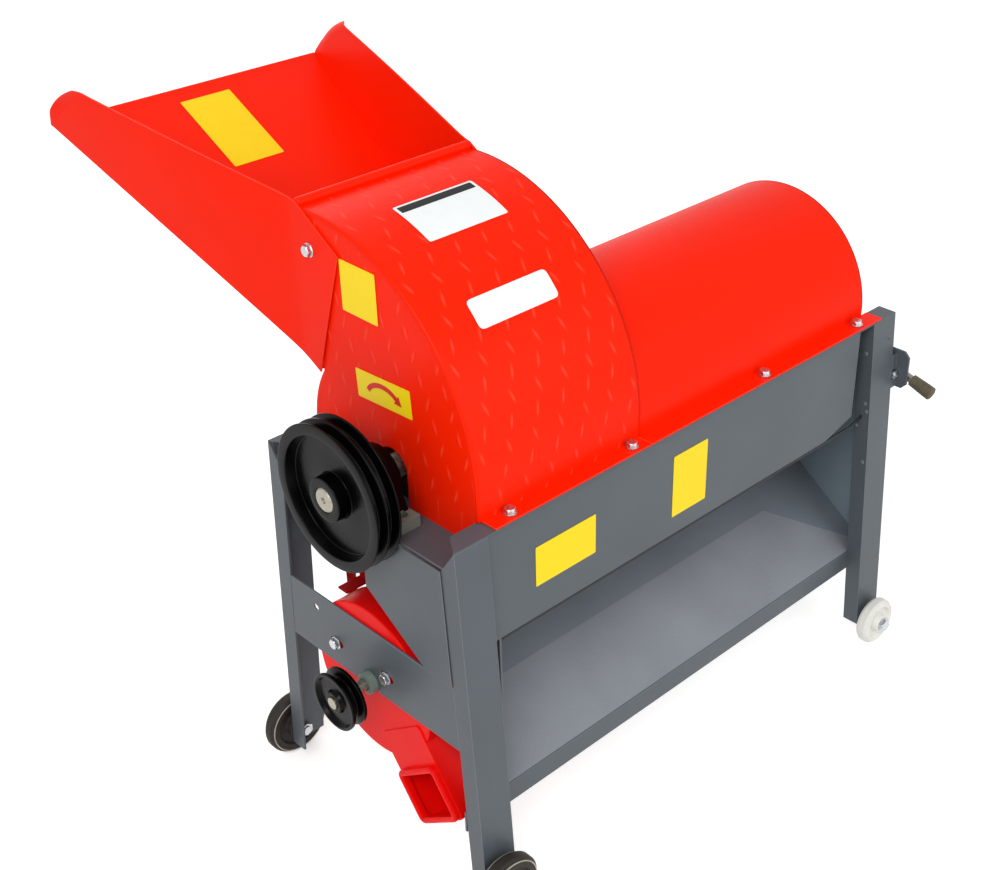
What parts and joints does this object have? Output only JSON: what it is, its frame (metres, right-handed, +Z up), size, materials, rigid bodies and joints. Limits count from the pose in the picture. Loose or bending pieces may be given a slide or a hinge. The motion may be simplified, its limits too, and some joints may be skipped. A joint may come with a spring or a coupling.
{
  "type": "corn sheller",
  "caption": "Corn sheller with flared hopper, toothed rotor over a bar concave, sloping grain tray, lever cob gate and chaff fan, on a wheeled steel frame.",
  "frame": {"origin": "on the floor, under the middle of the whole outline", "axes": "+X along the rotor shaft from the pulley end to the cob end, +Y towards the hopper, so the grain leaves towards -Y, +Z up"},
  "size_m": [0.9104, 0.7876, 0.897],
  "materials": {
    "red_paint": "gloss powder coat on sheet steel",
    "dark_red_paint": "satin paint on sheet steel",
    "grey_paint": "satin blue-grey paint on sheet steel",
    "tray_paint": "satin light grey paint, rubbed by the grain",
    "black_pulley": "black paint on cast iron",
    "cast_block": "grey-green paint on cast iron",
    "bare_steel": "bare rolled steel, worn bright",
    "zinc_bolt": "bright zinc plating",
    "dark_wheel": "dark moulded rubber",
    "white_nylon": "moulded white nylon",
    "grip_rubber": "ribbed dark rubber"
  },
  "bodies": {
    "frame": {"near_front_leg": "grey_paint", "near_rear_leg": "grey_paint", "far_front_leg": "grey_paint", "far_rear_leg": "grey_paint", "near_front_axle_bolt": "zinc_bolt", "near_rear_axle_bolt": "zinc_bolt", "far_front_axle_bolt": "zinc_bolt", "far_rear_axle_bolt": "zinc_bolt", "front_side_sheet": "grey_paint", "rear_side_sheet": "grey_paint", "near_end_sheet": "grey_paint", "far_end_sheet": "grey_paint", "near_cross_rail": "grey_paint", "grain_tray": "tray_paint", "lower_front_rail": "grey_paint", "feed_housing": "red_paint", "drum_cover": "red_paint", "hopper": "red_paint", "concave": "bare_steel", "cob_trough": "grey_paint", "gate_bracket": "grey_paint", "gate_pivot_bolt": "zinc_bolt", "near_bearing_block": "cast_block", "far_bearing_block": "cast_block", "fan_housing": "red_paint", "fan_bearing": "cast_block", "fan_hanger_1": "dark_red_paint", "fan_hanger_2": "dark_red_paint", "fan_bolt_1": "zinc_bolt", "fan_bolt_2": "zinc_bolt", "front_cover_bolt_1": "zinc_bolt", "front_cover_bolt_2": "zinc_bolt", "front_cover_bolt_3": "zinc_bolt", "front_cover_bolt_4": "zinc_bolt", "rear_cover_bolt_1": "zinc_bolt", "rear_cover_bolt_2": "zinc_bolt", "rear_cover_bolt_3": "zinc_bolt", "rear_cover_bolt_4": "zinc_bolt", "near_hopper_bolt": "zinc_bolt", "far_hopper_bolt": "zinc_bolt"},
    "rotor": {"rotor_shaft": "bare_steel", "rotor_drum": "bare_steel", "feed_auger": "bare_steel", "main_pulley": "black_pulley", "beater_bar_1": "bare_steel", "beater_bar_2": "bare_steel", "beater_bar_3": "bare_steel", "beater_bar_4": "bare_steel", "near_bearing_insert": "black_pulley", "far_bearing_insert": "black_pulley"},
    "fan": {"fan_shaft": "bare_steel", "fan_impeller": "dark_red_paint", "fan_pulley": "black_pulley"},
    "gate": {"cob_gate": "bare_steel", "gate_grip": "grip_rubber"},
    "near_front_roller": {"near_front_wheel": "dark_wheel"},
    "near_rear_roller": {"near_rear_wheel": "dark_wheel"},
    "far_front_roller": {"far_front_wheel": "white_nylon"},
    "far_rear_roller": {"far_rear_wheel": "white_nylon"}
  },
  "joints": [
    {"name": "rotor_spin", "type": "hinge", "parent": "frame", "child": "rotor", "pos_m": [0, -0.15417, 0.543], "axis": [1, 0, 0], "continuous": true},
    {"name": "fan_spin", "type": "hinge", "parent": "frame", "child": "fan", "pos_m": [-0.37, -0.15017, 0.254], "axis": [1, 0, 0], "continuous": true},
    {"name": "gate_swing", "type": "hinge", "parent": "frame", "child": "gate", "pos_m": [0.4385, -0.32817, 0.434], "axis": [1, 0, 0], "range_deg": [0, 35]},
    {"name": "near_front_wheel_spin", "type": "hinge", "parent": "frame", "child": "near_front_roller", "pos_m": [-0.37825, -0.37076, 0.047], "axis": [0, 1, 0], "continuous": true},
    {"name": "near_rear_wheel_spin", "type": "hinge", "parent": "frame", "child": "near_rear_roller", "pos_m": [-0.37825, 0.06241, 0.047], "axis": [0, 1, 0], "continuous": true},
    {"name": "far_front_wheel_spin", "type": "hinge", "parent": "frame", "child": "far_front_roller", "pos_m": [0.39475, -0.37143, 0.036], "axis": [0, 1, 0], "continuous": true},
    {"name": "far_rear_wheel_spin", "type": "hinge", "parent": "frame", "child": "far_rear_roller", "pos_m": [0.39475, 0.06308, 0.036], "axis": [0, 1, 0], "continuous": true}
  ]
}
